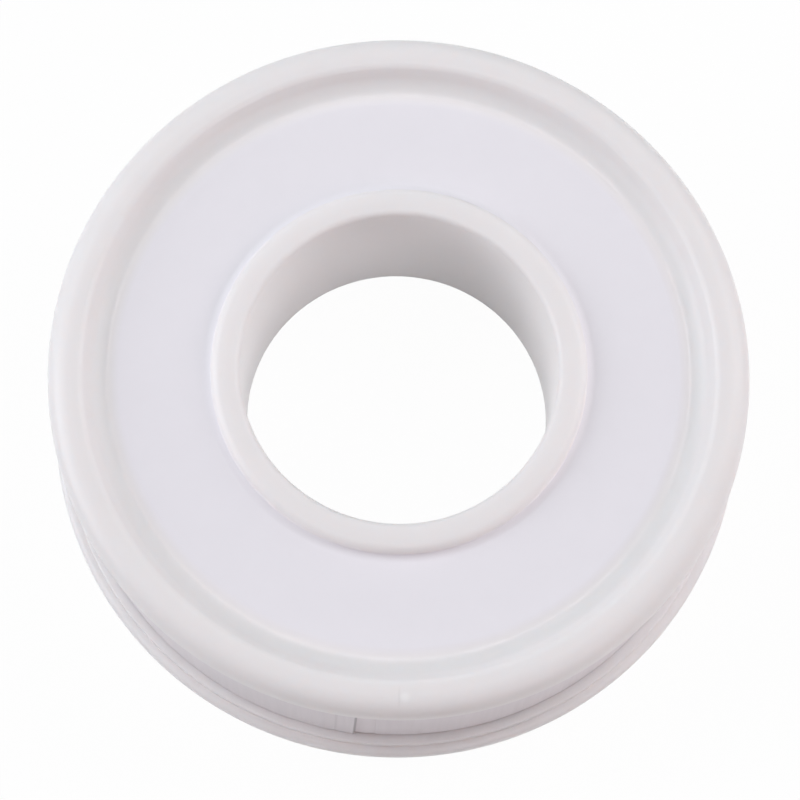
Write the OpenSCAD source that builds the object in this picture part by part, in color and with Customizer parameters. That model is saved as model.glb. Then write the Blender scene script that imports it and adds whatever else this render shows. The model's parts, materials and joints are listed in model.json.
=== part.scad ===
// Roll of thread seal tape: a snap-together spool of two white mouldings, the wound tape and a paper ring.
// The roll lies flat. The axis of the bore is Z, and Z = 0 is the face that it rests on. Millimetres.

/* [Tape] */
// Width of the tape
tape_w = 12; // [9:0.5:19]
// Thickness of the tape
tape_t = 0.1; // [0.075:0.005:0.2]
// Outer radius of the wound tape at its cut end
roll_r = 25.3; // [20:0.1:25.8]
// Direction of the cut end round the axis
cut_angle = -94; // [-180:1:180]
// Bare arc between the cut end and the place where its own turn began
cut_bare = 1.5; // [0.6:0.1:6]

/* [Flanges] */
// Diameter of the upper flange
flange_d = 52; // [51.8:0.1:60]
// Thickness of the web between rim and hub
web_t = 0.75; // [0.6:0.05:1.6]
// Depth of the recess in each outer face
recess_depth = 1.45; // [1.2:0.05:2.4]
// Width of the rim at its land
rim_w = 2.55; // [2:0.05:4]
// How far the recess wall leans in from the land to the floor
recess_lean = 1; // [0.1:0.05:1.5]
// How far the lower flange stands out past the upper one
lip_w = 0.7; // [0.6:0.05:2]
// How far the edge of the lower flange lies below its inner face
lip_drop = 0.6; // [0.3:0.05:0.9]

/* [Hub] */
// Diameter of the bore through the sleeve
bore_d = 23.5; // [20:0.1:25]
// Wall of the sleeve that lines the bore
sleeve_wall = 1.25; // [0.9:0.05:1.8]
// Wall of the hub that the tape is wound on
hub_wall = 1.4; // [1.2:0.05:2.5]
// Width of the raised ring round the bore on each face
ring_w = 2.2; // [2:0.05:3]
// How far the upper ring's top lies below the rim
ring_drop = 0.35; // [0.05:0.05:0.4]

/* [Snap fit] */
// Height of the bead round the sleeve
bead_h = 0.3; // [0.2:0.02:0.5]
// Length of the bead along the sleeve
bead_len = 0.6; // [0.55:0.05:1.2]
// Height of the lip of the hub that holds the bead
catch_len = 0.8; // [0.6:0.05:1.2]

/* [Fits] */
// Radial clearance of the sleeve in the hub
run_gap = 0.08; // [0.03:0.01:0.1]
// End play of the sleeve in the hub
end_gap = 0.12; // [0.05:0.01:0.3]
// Clearance beside each edge of the tape
tape_gap = 0.1; // [0.05:0.01:0.3]
// Clearance between one wound layer and what it lies on
wind_gap = 0.02; // [0.01:0.005:0.05]
// How far the end of the sleeve is kept off the surface below
foot_gap = 0.3; // [0.1:0.05:0.5]

/* [Paper ring] */
// Thickness of the paper ring in the upper recess
paper_t = 0.12; // [0.08:0.02:0.4]
// Margin between the paper ring and the walls round it
paper_margin = 0.1; // [0.05:0.05:1]

/* [Rounding] */
// Rounding of the upper flange's outer top edge
rim_round = 1.05; // [0.3:0.05:1.3]
// Rounding of each recess between its floor and its leaning wall
dish_round = 1.5; // [0.2:0.1:2]
// Rounding of the other edges of rims and rings
edge_round = 0.45; // [0.2:0.05:0.6]
// Rounding of small edges and corners
small_round = 0.15; // [0.05:0.05:0.2]

/* [Hidden] */

$fn = 180;
fillet_steps = 6;
turn_steps = 180;
// How far a cutting shape reaches past what it cuts
overcut = 1;
mm_per_m = 1000;

plastic_white = [0.93, 0.93, 0.92];
tape_white = [0.88, 0.87, 0.88];
paper_white = [0.92, 0.92, 0.96];

// Heights from the resting face upwards
flange_t = web_t + recess_depth;
lower_face = flange_t;
upper_face = flange_t + tape_w + 2 * tape_gap;
top = upper_face + flange_t;
upper_floor = top - recess_depth;
ring_top = top - ring_drop;
lip_z = lower_face - lip_drop;
hub_top = upper_face - end_gap;

// Radii from the bore outwards
bore_r = bore_d / 2;
sleeve_r = bore_r + sleeve_wall;
bead_r = sleeve_r + bead_h;
hub_bore_r = sleeve_r + run_gap;
groove_r = bead_r + run_gap;
hub_r = hub_bore_r + hub_wall;
upper_ring_r = bore_r + ring_w;
lower_ring_r = hub_bore_r + ring_w;
flange_r = flange_d / 2;
lip_r = flange_r + lip_w;
rim_r = flange_r - rim_w;
floor_r = rim_r - recess_lean;

// The rounding of a recess is limited by its wall, and the flat of the floor ends where it begins
wall_tan = tan(atan2(recess_depth, recess_lean) / 2);
dish_r = min(dish_round, norm([recess_lean, recess_depth]) / wall_tan - edge_round);
flat_r = floor_r - dish_r * wall_tan;

// The bead runs in a groove just above the catch lip
groove_lo = catch_len;
bead_lo = groove_lo + end_gap;
bead_hi = bead_lo + bead_len;
groove_hi = bead_hi + end_gap;

// The last turn winds from its start to the cut end, one tape thickness further out
bare_angle = cut_bare / roll_r * 180 / PI;
start_angle = cut_angle + bare_angle;
tape_lo = lower_face + tape_gap;
tape_length = PI * (pow(roll_r, 2) - pow(hub_r, 2)) / tape_t / mm_per_m;

function unit(v) = v / norm(v);

// Points of the fillet of radius r at corner q, between its neighbours p and s
function fillet(p, q, s, r) =
    let (
        u = unit(p - q),
        v = unit(s - q),
        half = acos(u * v) / 2,
        centre = q + unit(u + v) * r / sin(half),
        from = q + u * r / tan(half) - centre,
        to = q + v * r / tan(half) - centre,
        a = atan2(from[1], from[0]),
        sweep = (atan2(to[1], to[0]) - a + 540) % 360 - 180
    )
    [for (i = [0:fillet_steps]) centre + r * [cos(a + sweep * i / fillet_steps), sin(a + sweep * i / fillet_steps)]];

// Outline through corners given as [radius, height, rounding]
function rounded(corners) =
    let (n = len(corners), at = [for (c = corners) [c[0], c[1]]])
    [for (i = [0:n - 1])
        each corners[i][2] == 0 ? [at[i]] : fillet(at[(i + n - 1) % n], at[i], at[(i + 1) % n], corners[i][2])];

// Radius of the face that the last turn lies on, at a share of one turn from its start
function bed_r(share) = roll_r - 2 * tape_t + tape_t * share;

function polar(r, angle) = r * [cos(angle), sin(angle)];

// Points along the winding at an offset from its bed, over a share of one turn
function wound(offset, share) =
    [for (i = [0:turn_steps])
        let (s = share * i / turn_steps)
        polar(bed_r(s) + offset, start_angle + 360 * s)];

// Upper moulding: rim, recess and hub ring on top, and the sleeve that lines the bore down to the foot
module sleeve_flange() {
    color(plastic_white) rotate_extrude() polygon(rounded([
        [bore_r, foot_gap, small_round],
        [sleeve_r, foot_gap, small_round],
        [sleeve_r, bead_lo, 0],
        [bead_r, bead_lo + bead_h, 0],
        [bead_r, bead_hi, 0],
        [sleeve_r, bead_hi, 0],
        [sleeve_r, upper_face, 0],
        [flange_r, upper_face, small_round],
        [flange_r, top, rim_round],
        [rim_r, top, edge_round],
        [floor_r, upper_floor, dish_r],
        [upper_ring_r, upper_floor, small_round],
        [upper_ring_r, ring_top, edge_round],
        [bore_r, ring_top, edge_round]
    ]));
}

// Lower moulding: stepped flange below, and the hub with the groove that the bead snaps into
module hub_flange() {
    color(plastic_white) rotate_extrude() polygon(rounded([
        [hub_bore_r, 0, small_round],
        [lower_ring_r, 0, edge_round],
        [lower_ring_r, recess_depth, small_round],
        [floor_r, recess_depth, dish_r],
        [rim_r, 0, edge_round],
        [lip_r, 0, edge_round],
        [lip_r, lip_z, edge_round],
        [flange_r, lip_z, 0],
        [flange_r, lower_face, small_round],
        [hub_r, lower_face, 0],
        [hub_r, hub_top, small_round],
        [hub_bore_r, hub_top, small_round],
        [hub_bore_r, groove_hi, 0],
        [groove_r, groove_hi, 0],
        [groove_r, groove_lo, 0],
        [hub_bore_r, groove_lo, 0]
    ]));
}

// All turns but the last, as one body whose outside is the spiral that the last turn lies on
module tape_inner_turns() {
    color(tape_white) translate([0, 0, tape_lo]) difference() {
        linear_extrude(tape_w) polygon(wound(-wind_gap, 1));
        translate([0, 0, -overcut]) cylinder(r = hub_r + wind_gap, h = tape_w + 2 * overcut);
    }
}

// The last turn: one strip that winds over the others and stops at its cut end
module tape_outer_turn() {
    share = 1 - bare_angle / 360;
    inside = wound(0, share);
    outside = wound(tape_t, share);
    echo(tape_length_m = tape_length, gap_between_its_ends_mm = norm(inside[0] - inside[turn_steps]));
    color(tape_white) translate([0, 0, tape_lo]) linear_extrude(tape_w)
        polygon(concat(outside, [for (i = [turn_steps:-1:0]) inside[i]]));
}

// Plain paper ring that lies on the floor of the upper recess
module paper_ring() {
    color(paper_white) translate([0, 0, upper_floor]) difference() {
        cylinder(r = flat_r - paper_margin, h = paper_t);
        translate([0, 0, -overcut])
            cylinder(r = upper_ring_r + paper_margin + small_round, h = paper_t + 2 * overcut);
    }
}

sleeve_flange();
hub_flange();
tape_inner_turns();
tape_outer_turn();
paper_ring();
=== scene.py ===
"""Roll of thread seal tape: its two mouldings, wound film and paper ring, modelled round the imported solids.

The roll lies flat. Z is the axis of the bore, and Z = 0 is the face that it rests on. Lengths are in metres.
"""

import json
import math

import bmesh
import bpy
from bpy.props import FloatProperty, FloatVectorProperty, PointerProperty
from mathutils import Matrix, Vector, noise


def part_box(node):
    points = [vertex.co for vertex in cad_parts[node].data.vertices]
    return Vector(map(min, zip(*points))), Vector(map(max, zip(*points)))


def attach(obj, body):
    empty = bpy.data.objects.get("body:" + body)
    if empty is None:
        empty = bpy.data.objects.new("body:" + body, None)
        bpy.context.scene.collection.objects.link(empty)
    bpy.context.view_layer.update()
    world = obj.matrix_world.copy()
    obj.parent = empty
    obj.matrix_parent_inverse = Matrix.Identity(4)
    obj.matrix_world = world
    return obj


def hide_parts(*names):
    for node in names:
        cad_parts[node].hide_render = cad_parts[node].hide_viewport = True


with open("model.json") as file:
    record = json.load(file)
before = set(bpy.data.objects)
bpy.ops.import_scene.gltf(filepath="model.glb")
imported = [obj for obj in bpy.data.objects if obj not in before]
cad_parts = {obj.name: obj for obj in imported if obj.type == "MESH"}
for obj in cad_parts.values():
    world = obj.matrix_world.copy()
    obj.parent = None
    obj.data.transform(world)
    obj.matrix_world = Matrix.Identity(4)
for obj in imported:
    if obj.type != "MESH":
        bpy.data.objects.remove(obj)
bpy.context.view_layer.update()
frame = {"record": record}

bl_info = {
    "name": "Thread seal tape roll",
    "version": (1, 0, 0),
    "blender": (4, 5, 0),
    "location": "View3D > Sidebar > Tape roll",
    "description": "Models a roll of thread seal tape and the white table that it lies on",
    "category": "Object",
}

MM = 0.001

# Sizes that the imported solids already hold
BORE_R = next(m for m in frame["record"]["mounts"] if m["kind"] == "bore")["dims"]["r_mm"] * MM
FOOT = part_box("sleeve_flange")[0].z
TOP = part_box("sleeve_flange")[1].z
FLANGE_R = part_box("sleeve_flange")[1].x
LIP_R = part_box("hub_flange")[1].x
HUB_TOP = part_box("hub_flange")[1].z
TAPE_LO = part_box("tape_outer_turn")[0].z
TAPE_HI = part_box("tape_outer_turn")[1].z
FLOOR_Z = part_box("paper_ring")[0].z
PAPER_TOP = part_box("paper_ring")[1].z
PAPER_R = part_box("paper_ring")[1].x

# Faces round each turned piece, along each rounding and bend, and up the tape
MOULD_STEPS = 288
WOUND_STEPS = 1800
PAPER_STEPS = 240
PAPER_BENDS = 8
ROUND_STEPS = 8
INNER_ROWS = 4
TAPE_ROWS = 9

# Faces that meet at less than this angle are shaded as one
SMOOTH_ANGLE = math.radians(35)

# How close a point is to a ring that it belongs to, and how close two points are that get merged
RING_REACH = 0.002 * MM
MERGE_REACH = 0.0001 * MM

# Middle of the upper rim's land, and the directions of the gate and of the line where two flows met
MARK_R = 24.6 * MM
GATE_ANGLE = -85.9
WELD_ANGLE = -86.9

# Where the gate's painted highlight and the flow line's painted shade start to fade, and where they end
GATE_HIGHLIGHT = (0.15 * MM, 0.45 * MM)
WELD_WIDTH = (0.04 * MM, 0.12 * MM)
WELD_LENGTH = (0.35 * MM, 0.9 * MM)

# Widths of the blotches and grain in the surfaces
FLOW_WIDTH = 9 * MM
HANDLED_WIDTH = 4 * MM
SKIN_GRAIN = 0.22 * MM
CLOUD_WIDTH = 2.5 * MM
FIBRE_WIDTH = 0.15 * MM
SWEEP_GRAIN = 0.8 * MM

# Widths and heights of the fine and the broad creases that winding leaves in the film
STREAK_WIDTH = 0.45 * MM
STREAK_HEIGHT = 25 * MM
BROAD_WIDTH = 2.5 * MM
BROAD_HEIGHT = 40 * MM
BROAD_PLANE = 7

# Length of the waves in the film's lower edge
FRAY_LENGTH = 1.2 * MM
FRAY_PLANE = 3

# Width of the upright lines of painted shadow at the cut end and of painted shade at the fold behind it, and
# how dark each is painted
CUT_LINE = 0.12 * MM
CUT_SHADE = 0.9
FOLD_SHADE = 0.18


def linear(hex_colour):
    """The linear RGB of an sRGB hex colour."""
    parts = [int(hex_colour[i:i + 2], 16) / 255 for i in (1, 3, 5)]
    return tuple(c / 12.92 if c <= 0.04045 else ((c + 0.055) / 1.055) ** 2.4 for c in parts)


def size(name, description, millimetres):
    """A length that a user may change, given in millimetres."""
    return FloatProperty(name=name, description=description, default=millimetres * MM,
                         unit="LENGTH", precision=5)


def colour(name, description, hex_colour):
    """A colour that a user may change, given as sRGB hex."""
    return FloatVectorProperty(name=name, description=description, default=linear(hex_colour),
                               subtype="COLOR", min=0, max=1)


class SpoolSizes(bpy.types.PropertyGroup):
    """Sizes of the two mouldings and the paper ring."""

    rim_width: size("Rim", "Width of the rim at its land", 2.55)
    recess_lean: size("Recess lean", "How far the recess wall leans in from the land to the floor", 1.0)
    ring_width: size("Hub ring", "Width of the raised ring round the bore", 2.2)
    ring_drop: size("Ring drop", "How far the raised ring's top lies below the rim", 0.35)
    sleeve_wall: size("Sleeve wall", "Wall of the sleeve that lines the bore", 1.25)
    hub_wall: size("Hub wall", "Wall of the hub that the tape is wound on", 1.4)
    running_gap: size("Running gap", "Radial clearance of the sleeve in the hub", 0.08)
    end_gap: size("End play", "Clearance between the hub and the upper flange", 0.12)
    flange_thickness: size("Flange", "Thickness of a flange over its rim", 2.2)
    lip_drop: size("Lip drop", "How far the lower flange's edge lies below its inner face", 0.6)
    bead_height: size("Bead height", "Height of the snap bead on the sleeve", 0.3)
    bead_length: size("Bead length", "Length of the snap bead along the sleeve", 0.6)
    catch_length: size("Catch", "Height of the lip that holds the bead", 0.8)
    hole_bend: size("Hole bend", "Width of the paper's inner edge that bends up against the hub ring", 0.6)
    hole_curl: size("Hole curl", "How far the paper's inner edge bends up", 0.25)
    edge_taper: size("Edge taper", "Width of the paper's outer edge that thins out towards the floor", 0.8)
    edge_left: size("Edge left", "Thickness that is left at the paper's outer edge", 0.01)
    rim_round: size("Rim rounding", "Rounding of the upper flange's outer top edge", 1.55)
    ring_round: size("Ring rounding", "Rounding of the raised ring's outer top edge", 0.65)
    land_round: size("Land rounding", "Rounding of the upper rim's land towards the recess", 0.6)
    dish_round: size("Recess rounding", "Rounding of a recess between its floor and its leaning wall", 1.5)
    edge_round: size("Edge rounding", "Rounding of the other edges of rims and rings", 0.45)
    small_round: size("Small rounding", "Rounding of small edges and corners", 0.15)


class TapeSizes(bpy.types.PropertyGroup):
    """Sizes of the wound tape and of its cut end."""

    film: size("Film", "Thickness of the tape", 0.1)
    bed_gap: size("Bed gap", "Clearance between the last turn and the turns below it", 0.02)
    roll_radius: size("Roll radius", "Outer radius of the wound tape at its cut end", 25.3)
    bare_arc: size("Bare arc", "Arc between the cut end and the place where its own turn began", 1.5)
    flap: size("Flap", "Length of the end of the tape that stands off the roll", 1.45)
    flap_lift: size("Flap lift", "How far the cut end stands off the roll", 0.06)
    cut_slant: size("Cut slant", "How far the cut leans from its lower to its upper edge", 0.25)
    fray: size("Fray", "How far the film's lower edge hangs below its clearance", 0.098)
    crease: size("Crease", "Height of the upright creases in the film", 0.012)
    cut_angle: FloatProperty(name="Cut end", description="Direction of the cut end round the axis",
                             default=math.radians(-94), subtype="ANGLE")


class RollColours(bpy.types.PropertyGroup):
    """Colours of the materials."""

    plastic: colour("Plastic", "Natural white polypropylene of both mouldings", "#F4F0F0")
    film: colour("Film", "Unsintered fluoropolymer film", "#EFE9EC")
    paper: colour("Paper", "Coated paper ring in the upper recess", "#F4F1F6")
    floor: colour("Floor", "Paper sweep that the roll lies on", "#F4F4F4")


def tangent_length(corners, i):
    """How far along its sides a corner's rounding starts."""
    here = Vector(corners[i][:2])
    before = Vector(corners[i - 1][:2]) - here
    after = Vector(corners[(i + 1) % len(corners)][:2]) - here
    return corners[i][2] / math.tan(before.angle(after) / 2)


def select_rings(piece, rings):
    """Selects the edge loops that lie at the given radii and heights, and nothing else."""
    mesh = bmesh.from_edit_mesh(piece.data)
    for vert in mesh.verts:
        radius = math.hypot(vert.co.x, vert.co.y)
        vert.select = any(max(abs(radius - r), abs(vert.co.z - z)) < RING_REACH for r, z in rings)
    mesh.select_flush(False)
    mesh.select_flush(True)
    bmesh.update_edit_mesh(piece.data)


def turn(name, corners, steps):
    """Turns a closed profile of [radius, height, rounding] corners, ring after ring, and rounds it."""
    bpy.ops.object.select_all(action="DESELECT")
    bpy.ops.mesh.primitive_circle_add(vertices=steps, radius=corners[0][0], fill_type="NOTHING",
                                      enter_editmode=True)
    piece = bpy.context.object
    piece.name = piece.data.name = name
    bpy.ops.transform.translate(value=(0, 0, corners[0][1]))
    for (r_from, z_from, _), (r_to, z_to, _) in zip(corners, corners[1:]):
        bpy.ops.mesh.extrude_region_move(TRANSFORM_OT_translate={"value": (0, 0, z_to - z_from)})
        bpy.ops.transform.resize(value=(r_to / r_from, r_to / r_from, 1), center_override=(0, 0, 0))
    select_rings(piece, [corners[0][:2], corners[-1][:2]])
    bpy.ops.mesh.bridge_edge_loops()
    for i, corner in enumerate(corners):
        if corner[2]:
            select_rings(piece, [corner[:2]])
            bpy.ops.mesh.bevel(offset=tangent_length(corners, i), segments=ROUND_STEPS, affect="EDGES")
    bpy.ops.mesh.select_all(action="SELECT")
    bpy.ops.mesh.remove_doubles(threshold=MERGE_REACH)
    bpy.ops.mesh.normals_make_consistent(inside=False)
    bpy.ops.object.mode_set(mode="OBJECT")
    return piece


def smooth(piece):
    """Shades a piece smooth but for its sharp edges, with the flats keeping their own normals."""
    bpy.ops.object.shade_smooth_by_angle(angle=SMOOTH_ANGLE)
    weighted = piece.modifiers.new("Flats", "WEIGHTED_NORMAL")
    weighted.keep_sharp = True
    bpy.ops.object.modifier_apply(modifier=weighted.name)


def add(tree, kind, inputs=None, **settings):
    """Adds a node, sets its properties, and gives each input a value or a link."""
    made = tree.nodes.new(kind)
    for name, value in settings.items():
        setattr(made, name, value)
    for key, value in (inputs or {}).items():
        if isinstance(value, bpy.types.NodeSocket):
            tree.links.new(value, made.inputs[key])
        else:
            made.inputs[key].default_value = value
    return made


def new_material(name):
    """An empty node material, its tree and its output node."""
    material = bpy.data.materials.new(name)
    material.use_nodes = True
    material.node_tree.nodes.clear()
    return material, material.node_tree, material.node_tree.nodes.new("ShaderNodeOutputMaterial")


def shade(rgb, factor):
    """A colour made darker or lighter by a factor, with alpha."""
    return tuple(min(1, c * factor) for c in rgb) + (1,)


def maths(tree, operation, *values):
    """The result of a maths node on its values."""
    return add(tree, "ShaderNodeMath", dict(enumerate(values)), operation=operation).outputs[0]


def blend(tree, factor, first, second):
    """A mix of two colours by a factor."""
    return add(tree, "ShaderNodeMix", {"Factor": factor, 6: first, 7: second}, data_type="RGBA").outputs[2]


def mottle(tree, place, width, detail):
    """Noise with blotches of about a width."""
    made = add(tree, "ShaderNodeTexNoise", {"Vector": place, "Scale": 1 / width, "Detail": detail})
    return made.outputs["Fac"]


def bumps(tree, height, strength, distance):
    """A normal that follows small heights."""
    made = add(tree, "ShaderNodeBump", {"Height": height, "Strength": strength, "Distance": distance})
    return made.outputs[0]


def fade(tree, value, start, end, strength):
    """A strength that falls to nothing while a value goes from start to end."""
    return add(tree, "ShaderNodeMapRange", {
        "Value": value, "From Min": start, "From Max": end, "To Min": strength, "To Max": 0}).outputs[0]


def distance_to(tree, place, point):
    """How far a place lies from a point."""
    return add(tree, "ShaderNodeVectorMath", {0: place, 1: point}, operation="DISTANCE").outputs["Value"]


def rim_point(degrees):
    """A point in the middle of the upper rim's land, at a direction round the axis."""
    direction = math.radians(degrees)
    return Vector((MARK_R * math.cos(direction), MARK_R * math.sin(direction), TOP))


def moulded_polypropylene(rgb):
    """Injection-moulded polypropylene: a satin skin, light that passes into its edges, faint flow mottling.

    On the upper rim, the spot of its gate is painted paler as a highlight. Beside it, the faint line where
    two flows met is painted darker as the shade in its fine groove.
    """
    material, tree, output = new_material("moulded_polypropylene")
    place = add(tree, "ShaderNodeTexCoord").outputs["Object"]
    tint = blend(tree, mottle(tree, place, FLOW_WIDTH, 3), shade(rgb, 0.985), shade(rgb, 1.01))
    # Painted highlight: the gate's small spot is painted paler, as the glint on it
    gate = fade(tree, distance_to(tree, place, rim_point(GATE_ANGLE)), *GATE_HIGHLIGHT, 0.8)
    tint = blend(tree, gate, tint, shade(rgb, 1.08))
    # Painted shade: the line where two flows met is painted darker, as the shade in its fine groove
    across = Vector((-math.sin(math.radians(WELD_ANGLE)), math.cos(math.radians(WELD_ANGLE)), 0))
    aside = add(tree, "ShaderNodeVectorMath", {0: place, 1: across}, operation="DOT_PRODUCT")
    line = fade(tree, maths(tree, "ABSOLUTE", aside.outputs["Value"]), *WELD_WIDTH, 0.4)
    near = fade(tree, distance_to(tree, place, rim_point(WELD_ANGLE)), *WELD_LENGTH, 1)
    tint = blend(tree, maths(tree, "MULTIPLY", line, near), tint, shade(rgb, 0.88))
    handled = mottle(tree, place, HANDLED_WIDTH, 4)
    rough = add(tree, "ShaderNodeMapRange", {"Value": handled, "To Min": 0.36, "To Max": 0.48})
    skin = bumps(tree, mottle(tree, place, SKIN_GRAIN, 2), 0.25, 0.004 * MM)
    shader = add(tree, "ShaderNodeBsdfPrincipled", {
        "Base Color": tint, "Roughness": rough.outputs[0], "IOR": 1.49, "Normal": skin,
        "Subsurface Weight": 0.8, "Subsurface Radius": (1.0, 0.92, 0.88), "Subsurface Scale": 1.3 * MM})
    tree.links.new(shader.outputs[0], output.inputs[0])
    return material


def fluoropolymer_film(rgb, tape):
    """Unsintered fluoropolymer film: soft and waxy, with fine upright creases from winding, and painted shade
    and light along them.

    A dark upright line of painted shadow marks the lifted cut end, and a fainter line of painted shade marks
    the fold behind it.
    """
    material, tree, output = new_material("fluoropolymer_film")
    where = add(tree, "ShaderNodeTexCoord").outputs["Object"]
    place = add(tree, "ShaderNodeSeparateXYZ", {0: where}).outputs
    angle = maths(tree, "ARCTAN2", place["Y"], place["X"])
    unrolled = add(tree, "ShaderNodeCombineXYZ", {"X": angle, "Y": place["Z"]})
    upright = add(tree, "ShaderNodeMapping", {
        "Vector": unrolled.outputs[0], "Scale": (tape.roll_radius / STREAK_WIDTH, 1 / STREAK_HEIGHT, 1)})
    crease = mottle(tree, upright.outputs[0], 1.0, 5)
    # Painted shade and light: the colour follows the crease heights, darker in their hollows and lighter on
    # their crests
    tint = blend(tree, crease, shade(rgb, 0.93), shade(rgb, 1.03))
    slant = tape.cut_slant / (TAPE_HI - TAPE_LO) / tape.roll_radius
    fold_angle = tape.cut_angle - tape.flap / tape.roll_radius
    # Each upright line is painted shade: the shadow beside the lifted cut end, and the shade at the fold
    # where the flap starts to lift
    for direction, depth in ((tape.cut_angle, CUT_SHADE), (fold_angle, FOLD_SHADE)):
        foot = direction - slant * (TAPE_HI + TAPE_LO) / 2
        line = maths(tree, "MULTIPLY_ADD", place["Z"], slant, foot)
        aside = maths(tree, "ABSOLUTE", maths(tree, "SUBTRACT", angle, line))
        dark = fade(tree, aside, CUT_LINE / 2 / tape.roll_radius, CUT_LINE / tape.roll_radius, depth)
        tint = blend(tree, dark, tint, shade(rgb, 0.6))
    shader = add(tree, "ShaderNodeBsdfPrincipled", {
        "Base Color": tint, "Roughness": 0.55, "IOR": 1.35, "Normal": bumps(tree, crease, 0.4, 0.02 * MM),
        "Subsurface Weight": 0.15, "Subsurface Radius": (1.0, 0.9, 0.85), "Subsurface Scale": 0.5 * MM})
    tree.links.new(shader.outputs[0], output.inputs[0])
    return material


def coated_paper(rgb, below, taper):
    """Coated label paper: brightened, so a cool white, with faint fibre mottling under a matt coat.

    Where its outer edge thins out, the colour of the plastic below it shows through.
    """
    material, tree, output = new_material("coated_paper")
    place = add(tree, "ShaderNodeTexCoord").outputs["Object"]
    tint = blend(tree, mottle(tree, place, CLOUD_WIDTH, 4), shade(rgb, 0.985), shade(rgb, 1.01))
    level = add(tree, "ShaderNodeVectorMath", {0: place, 1: (1, 1, 0)}, operation="MULTIPLY")
    radius = add(tree, "ShaderNodeVectorMath", {0: level.outputs["Vector"]}, operation="LENGTH")
    thin = add(tree, "ShaderNodeMapRange", {
        "Value": radius.outputs["Value"], "From Min": PAPER_R - taper, "From Max": PAPER_R})
    tint = blend(tree, thin.outputs[0], tint, shade(below, 1))
    fibre = bumps(tree, mottle(tree, place, FIBRE_WIDTH, 3), 0.2, 0.005 * MM)
    shader = add(tree, "ShaderNodeBsdfPrincipled", {
        "Base Color": tint, "Roughness": 0.6, "IOR": 1.5, "Normal": fibre})
    tree.links.new(shader.outputs[0], output.inputs[0])
    return material


def dress(piece, material, body, node):
    """Gives a finished piece its material, hangs it on the body that it rides on, and hides the imported part
    that it stands for.
    """
    piece.data.materials.clear()
    piece.data.materials.append(material)
    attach(piece, body)
    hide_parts(node)


class ROLL_OT_sleeve_flange(bpy.types.Operator):
    """Turn the upper moulding: rim, recess, hub ring and the sleeve that lines the bore"""

    bl_idname = "tape_roll.sleeve_flange"
    bl_label = "Upper moulding"

    def execute(self, context):
        s = context.scene.spool_sizes
        sleeve_r = BORE_R + s.sleeve_wall
        bead_r = sleeve_r + s.bead_height
        bead_lo = s.catch_length + s.end_gap
        bead_hi = bead_lo + s.bead_length
        inner_face = TOP - s.flange_thickness
        ring_r = BORE_R + s.ring_width
        rim_r = FLANGE_R - s.rim_width
        piece = turn("upper_moulding", [
            (BORE_R, FOOT, s.small_round),
            (sleeve_r, FOOT, s.small_round),
            (sleeve_r, bead_lo, 0),
            (bead_r, bead_lo + s.bead_height, 0),
            (bead_r, bead_hi, 0),
            (sleeve_r, bead_hi, 0),
            (sleeve_r, inner_face, 0),
            (FLANGE_R, inner_face, s.edge_round),
            (FLANGE_R, TOP, s.rim_round),
            (rim_r, TOP, s.land_round),
            (rim_r - s.recess_lean, FLOOR_Z, s.dish_round),
            (ring_r, FLOOR_Z, s.small_round),
            (ring_r, TOP - s.ring_drop, s.ring_round),
            (BORE_R, TOP - s.ring_drop, s.edge_round),
        ], MOULD_STEPS)
        smooth(piece)
        plastic = moulded_polypropylene(context.scene.roll_colours.plastic)
        dress(piece, plastic, "sleeve_half", "sleeve_flange")
        return {"FINISHED"}


class ROLL_OT_hub_flange(bpy.types.Operator):
    """Turn the lower moulding: stepped flange, and the hub with the groove for the snap bead"""

    bl_idname = "tape_roll.hub_flange"
    bl_label = "Lower moulding"

    def execute(self, context):
        s = context.scene.spool_sizes
        hub_bore_r = BORE_R + s.sleeve_wall + s.running_gap
        groove_r = hub_bore_r + s.bead_height
        groove_hi = s.catch_length + s.bead_length + 2 * s.end_gap
        recess_depth = TOP - FLOOR_Z
        rim_r = FLANGE_R - s.rim_width
        lip_z = s.flange_thickness - s.lip_drop
        ring_r = hub_bore_r + s.ring_width
        hub_r = hub_bore_r + s.hub_wall
        piece = turn("lower_moulding", [
            (hub_bore_r, 0, s.small_round),
            (ring_r, 0, s.edge_round),
            (ring_r, recess_depth, s.small_round),
            (rim_r - s.recess_lean, recess_depth, s.dish_round),
            (rim_r, 0, s.edge_round),
            (LIP_R, 0, s.edge_round),
            (LIP_R, lip_z, s.edge_round),
            (FLANGE_R, lip_z, 0),
            (FLANGE_R, s.flange_thickness, s.small_round),
            (hub_r, s.flange_thickness, 0),
            (hub_r, HUB_TOP, s.small_round),
            (hub_bore_r, HUB_TOP, s.small_round),
            (hub_bore_r, groove_hi, 0),
            (groove_r, groove_hi, 0),
            (groove_r, s.catch_length, 0),
            (hub_bore_r, s.catch_length, 0),
        ], MOULD_STEPS)
        smooth(piece)
        plastic = bpy.data.materials["moulded_polypropylene"]
        dress(piece, plastic, "wound_half", "hub_flange")
        return {"FINISHED"}


def bed_radius(tape, share):
    """Radius of the face that the last turn lies on, at a share of one turn from its start."""
    return tape.roll_radius - 2 * tape.film + tape.film * share


def share_of_turn(tape, x, y):
    """How far round the last turn a point lies, from its start, as a share of one turn."""
    start = tape.cut_angle + tape.bare_arc / tape.roll_radius
    return (math.atan2(y, x) - start) / math.tau % 1


def crease_height(tape, share, z):
    """Height of the upright creases that winding leaves in the film."""
    arc = share * math.tau * tape.roll_radius
    fine = noise.noise((arc / STREAK_WIDTH, z / STREAK_HEIGHT, 0))
    broad = noise.noise((arc / BROAD_WIDTH, z / BROAD_HEIGHT, BROAD_PLANE))
    return tape.crease * (0.6 * fine + broad)


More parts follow.
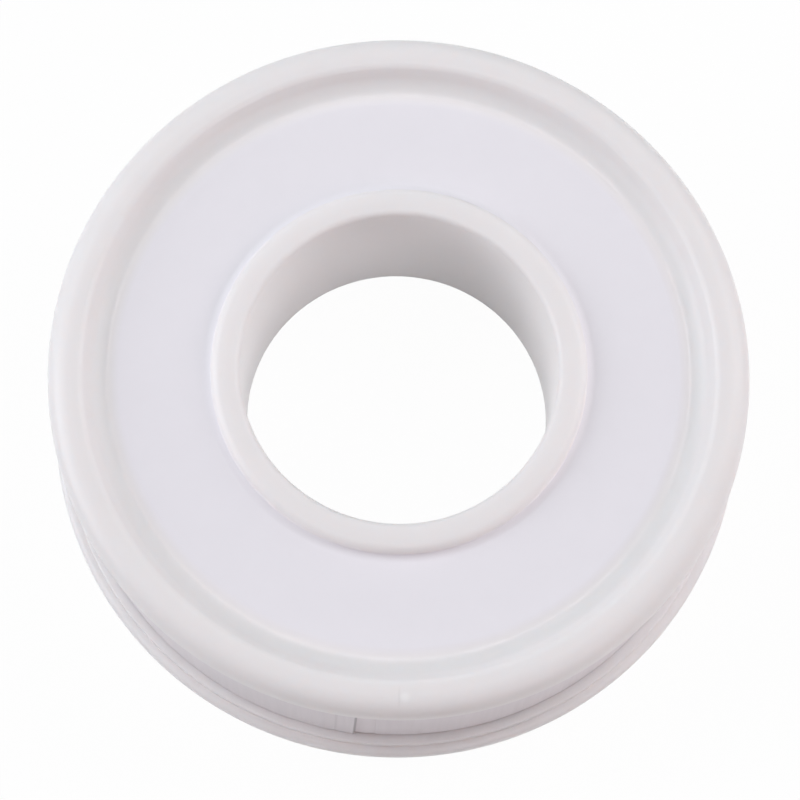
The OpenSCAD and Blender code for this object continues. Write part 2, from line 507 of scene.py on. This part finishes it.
class ROLL_OT_inner_turns(bpy.types.Operator):
    """Model all turns of the tape but the last, with the spiral outside that the last one lies on"""

    bl_idname = "tape_roll.inner_turns"
    bl_label = "Inner turns"

    def execute(self, context):
        s, tape = context.scene.spool_sizes, context.scene.tape_sizes
        inner_r = BORE_R + s.sleeve_wall + s.running_gap + s.hub_wall + tape.bed_gap
        rows = [TAPE_LO + (TAPE_HI - TAPE_LO) * i / INNER_ROWS for i in range(INNER_ROWS + 1)]
        outside = [(tape.roll_radius, z, 0) for z in rows]
        profile = [(inner_r, TAPE_LO, 0), *outside, (inner_r, TAPE_HI, 0)]
        piece = turn("inner_turns", profile, WOUND_STEPS // 2)
        for vert in piece.data.vertices:
            if math.hypot(vert.co.x, vert.co.y) > inner_r + MM:
                share = share_of_turn(tape, vert.co.x, vert.co.y)
                radius = bed_radius(tape, share) - tape.bed_gap
                vert.co.xy *= radius / math.hypot(vert.co.x, vert.co.y)
        smooth(piece)
        film = fluoropolymer_film(context.scene.roll_colours.film, tape)
        dress(piece, film, "wound_half", "tape_inner_turns")
        return {"FINISHED"}


class ROLL_OT_outer_turn(bpy.types.Operator):
    """Wind the last turn: one creased strip of film that stops at a lifted cut end"""

    bl_idname = "tape_roll.outer_turn"
    bl_label = "Outer turn"

    def execute(self, context):
        tape = context.scene.tape_sizes
        bpy.ops.object.select_all(action="DESELECT")
        bpy.ops.mesh.primitive_cylinder_add(vertices=WOUND_STEPS, radius=tape.roll_radius,
                                            depth=TAPE_HI - TAPE_LO, end_fill_type="NOTHING",
                                            enter_editmode=True)
        piece = bpy.context.object
        piece.name = piece.data.name = "outer_turn"
        bpy.ops.transform.translate(value=(0, 0, (TAPE_LO + TAPE_HI) / 2))
        bpy.ops.mesh.select_all(action="DESELECT")
        mesh = bmesh.from_edit_mesh(piece.data)
        last = 1 - tape.bare_arc / tape.roll_radius / math.tau
        for face in mesh.faces:
            centre = face.calc_center_median()
            face.select = share_of_turn(tape, centre.x, centre.y) > last
        bmesh.update_edit_mesh(piece.data)
        bpy.ops.mesh.delete(type="FACE")
        mesh = bmesh.from_edit_mesh(piece.data)
        for edge in mesh.edges:
            edge.select = abs(edge.verts[0].co.z - edge.verts[1].co.z) > MM
        bmesh.update_edit_mesh(piece.data)
        bpy.ops.mesh.subdivide(number_cuts=TAPE_ROWS)
        bpy.ops.object.mode_set(mode="OBJECT")
        flap = tape.flap / tape.roll_radius / math.tau
        for vert in piece.data.vertices:
            share = share_of_turn(tape, vert.co.x, vert.co.y)
            share = share if share < (1 + last) / 2 else share - 1
            height = (vert.co.z - TAPE_LO) / (TAPE_HI - TAPE_LO)
            lift = min(1, max(0, share - last + flap) / flap)
            radius = bed_radius(tape, share) + tape.film / 2 + crease_height(tape, share, vert.co.z)
            radius += tape.flap_lift * lift
            vert.co.xy *= radius / math.hypot(vert.co.x, vert.co.y)
            lean = lift * tape.cut_slant * (height - 0.5) / radius
            vert.co.xy = Matrix.Rotation(lean, 2) @ vert.co.xy
            # Only the lowest row of points hangs down
            if height < 0.5 / TAPE_ROWS:
                arc = share * math.tau * radius
                vert.co.z -= tape.fray * (0.9 + 0.1 * noise.noise((arc / FRAY_LENGTH, 0, FRAY_PLANE)))
        wall = piece.modifiers.new("Film", "SOLIDIFY")
        wall.thickness = tape.film
        wall.offset = 0
        bpy.ops.object.modifier_apply(modifier=wall.name)
        bpy.ops.object.shade_smooth_by_angle(angle=SMOOTH_ANGLE)
        dress(piece, bpy.data.materials["fluoropolymer_film"], "wound_half", "tape_outer_turn")
        return {"FINISHED"}


class ROLL_OT_paper_ring(bpy.types.Operator):
    """Cut the plain paper ring that lies in the upper recess"""

    bl_idname = "tape_roll.paper_ring"
    bl_label = "Paper ring"

    def execute(self, context):
        s = context.scene.spool_sizes
        hole_r = BORE_R + s.ring_width
        steps = [i / PAPER_BENDS for i in range(PAPER_BENDS + 1)]
        thinned = PAPER_TOP - FLOOR_Z - s.edge_left
        hole = [(hole_r + s.hole_bend * i, s.hole_curl * (1 - i) ** 2) for i in steps]
        edge = [(PAPER_R - s.edge_taper * (1 - i), thinned * i * i * (3 - 2 * i)) for i in steps]
        piece = turn("paper_ring_sheet", [
            *[(r, FLOOR_Z + lift, 0) for r, lift in hole],
            (PAPER_R, FLOOR_Z, 0),
            *[(r, PAPER_TOP - drop, 0) for r, drop in reversed(edge)],
            *[(r, PAPER_TOP + lift, 0) for r, lift in reversed(hole)],
        ], PAPER_STEPS)
        smooth(piece)
        # Thin paper lets light through to the plastic that it lies on
        piece.visible_shadow = False
        colours = context.scene.roll_colours
        paper = coated_paper(colours.paper, colours.plastic, s.edge_taper)
        dress(piece, paper, "sleeve_half", "paper_ring")
        return {"FINISHED"}


# The camera stands in front of the roll and looks down on it
CAMERA_DISTANCE = 0.235
CAMERA_ELEVATION = math.radians(75.47)
CAMERA_ROLL = math.radians(3.24)
CAMERA_AIM = (0.188 * MM, -0.455 * MM, 8.3 * MM)
CAMERA_LENS = 138.79
SENSOR_WIDTH = 36
CLIP_START = 0.01

# Lamps: name, place and size in metres, watts, colour
LAMPS = [
    ("left", (-0.6, 0.0, 0.3), 0.5, 2.70, (0.96, 0.96, 1.0)),
    ("right", (0.6, 0.2, 0.3), 0.4, 1.13, (0.98, 0.98, 1.0)),
    ("back", (0.0, 0.6, 0.4), 0.5, 0.21, (0.95, 0.97, 1.0)),
    ("front_right", (0.45, -0.45, 0.4), 0.5, 1.54, (1.0, 0.88, 0.89)),
    ("high_left", (-0.3, 0.2, 0.5), 0.3, 0.73, (0.88, 0.97, 1.0)),
    ("high_right", (0.3, 0.2, 0.5), 0.3, 1.01, (0.97, 0.98, 1.0)),
]

# The white that the camera and reflections see, and how much of it the sweep shows beside its own shade
WHITE = (1, 1, 1, 1)
UNLIT = (0, 0, 0, 1)
SWEEP_SIZE = 6.0
SWEEP_WHITE = 0.97


def seen_rays(tree):
    """One for rays from the camera, in reflections and through clear things, and nought for the rest."""
    path = add(tree, "ShaderNodeLightPath").outputs
    seen = maths(tree, "ADD", path["Is Camera Ray"], path["Is Glossy Ray"])
    seen = add(tree, "ShaderNodeMath", {0: seen, 1: path["Is Transmission Ray"]}, operation="ADD",
               use_clamp=True)
    return seen.outputs[0]


def paper_sweep(rgb):
    """White studio paper: reads as white from the camera, and still takes the roll's shadow."""
    material, tree, output = new_material("paper_sweep")
    share = add(tree, "ShaderNodeMapRange", {"Value": seen_rays(tree), "To Max": SWEEP_WHITE})
    place = add(tree, "ShaderNodeTexCoord").outputs["Object"]
    grain = bumps(tree, mottle(tree, place, SWEEP_GRAIN, 2), 0.05, 0.01 * MM)
    matt = add(tree, "ShaderNodeBsdfDiffuse", {"Color": rgb + (1,), "Normal": grain})
    white = add(tree, "ShaderNodeEmission", {"Color": WHITE, "Strength": 1.0})
    mixed = add(tree, "ShaderNodeMixShader", {0: share.outputs[0], 1: matt.outputs[0], 2: white.outputs[0]})
    tree.links.new(mixed.outputs[0], output.inputs[0])
    return material


class ROLL_OT_stage(bpy.types.Operator):
    """Set the white sweep, the soft lamps, the surroundings and the camera"""

    bl_idname = "tape_roll.stage"
    bl_label = "Stage"

    def execute(self, context):
        scene = context.scene
        bpy.ops.object.select_all(action="DESELECT")
        bpy.ops.mesh.primitive_plane_add(size=SWEEP_SIZE)
        sweep = bpy.context.object
        sweep.name = "sweep"
        sweep.data.materials.append(paper_sweep(tuple(scene.roll_colours.floor)))
        for name, place, width, watts, rgb in LAMPS:
            lamp = bpy.data.lights.new(name, "AREA")
            lamp.shape = "DISK"
            lamp.size = width
            lamp.energy = watts
            lamp.color = rgb
            holder = bpy.data.objects.new(name, lamp)
            holder.location = place
            holder.rotation_euler = (-Vector(place)).to_track_quat("-Z", "Y").to_euler()
            scene.collection.objects.link(holder)
        world = bpy.data.worlds.new("studio")
        scene.world = world
        world.use_nodes = True
        tree = world.node_tree
        tree.nodes.clear()
        tone = blend(tree, seen_rays(tree), UNLIT, WHITE)
        back = add(tree, "ShaderNodeBackground", {"Color": tone, "Strength": 1.0})
        tree.links.new(back.outputs[0], tree.nodes.new("ShaderNodeOutputWorld").inputs[0])
        lens = bpy.data.cameras.new("camera")
        lens.lens = CAMERA_LENS
        lens.sensor_width = SENSOR_WIDTH
        lens.clip_start = CLIP_START
        camera = bpy.data.objects.new("camera", lens)
        tilt = Matrix.Rotation(math.pi / 2 - CAMERA_ELEVATION, 4, "X")
        roll = Matrix.Rotation(CAMERA_ROLL, 4, "Z")
        back_way = Vector((0, -math.cos(CAMERA_ELEVATION), math.sin(CAMERA_ELEVATION)))
        place = Vector(CAMERA_AIM) + back_way * CAMERA_DISTANCE
        camera.matrix_world = Matrix.Translation(place) @ (tilt @ roll)
        scene.collection.objects.link(camera)
        scene.camera = camera
        scene.view_settings.view_transform = "Standard"
        return {"FINISHED"}


STEPS = [ROLL_OT_sleeve_flange, ROLL_OT_hub_flange, ROLL_OT_inner_turns, ROLL_OT_outer_turn,
         ROLL_OT_paper_ring, ROLL_OT_stage]


class ROLL_PT_steps(bpy.types.Panel):
    """The roll's pieces and sizes, in the sidebar of the 3D view"""

    bl_idname = "ROLL_PT_steps"
    bl_label = "Thread seal tape roll"
    bl_space_type = "VIEW_3D"
    bl_region_type = "UI"
    bl_category = "Tape roll"

    def draw(self, context):
        for step in STEPS:
            self.layout.operator(step.bl_idname)
        for group in (context.scene.spool_sizes, context.scene.tape_sizes, context.scene.roll_colours):
            for name in type(group).__annotations__:
                self.layout.prop(group, name)


CLASSES = [SpoolSizes, TapeSizes, RollColours, *STEPS, ROLL_PT_steps]


def register():
    """Makes the properties, operators and panel known."""
    for each in CLASSES:
        bpy.utils.register_class(each)
    bpy.types.Scene.spool_sizes = PointerProperty(type=SpoolSizes)
    bpy.types.Scene.tape_sizes = PointerProperty(type=TapeSizes)
    bpy.types.Scene.roll_colours = PointerProperty(type=RollColours)


def unregister():
    """Takes the properties, operators and panel away again."""
    del bpy.types.Scene.roll_colours
    del bpy.types.Scene.tape_sizes
    del bpy.types.Scene.spool_sizes
    for each in reversed(CLASSES):
        bpy.utils.unregister_class(each)


def main():
    """Builds the pieces and the stage."""
    register()
    bpy.ops.tape_roll.sleeve_flange()
    bpy.ops.tape_roll.hub_flange()
    bpy.ops.tape_roll.inner_turns()
    bpy.ops.tape_roll.outer_turn()
    bpy.ops.tape_roll.paper_ring()
    bpy.ops.tape_roll.stage()


if __name__ == "__main__":
    main()
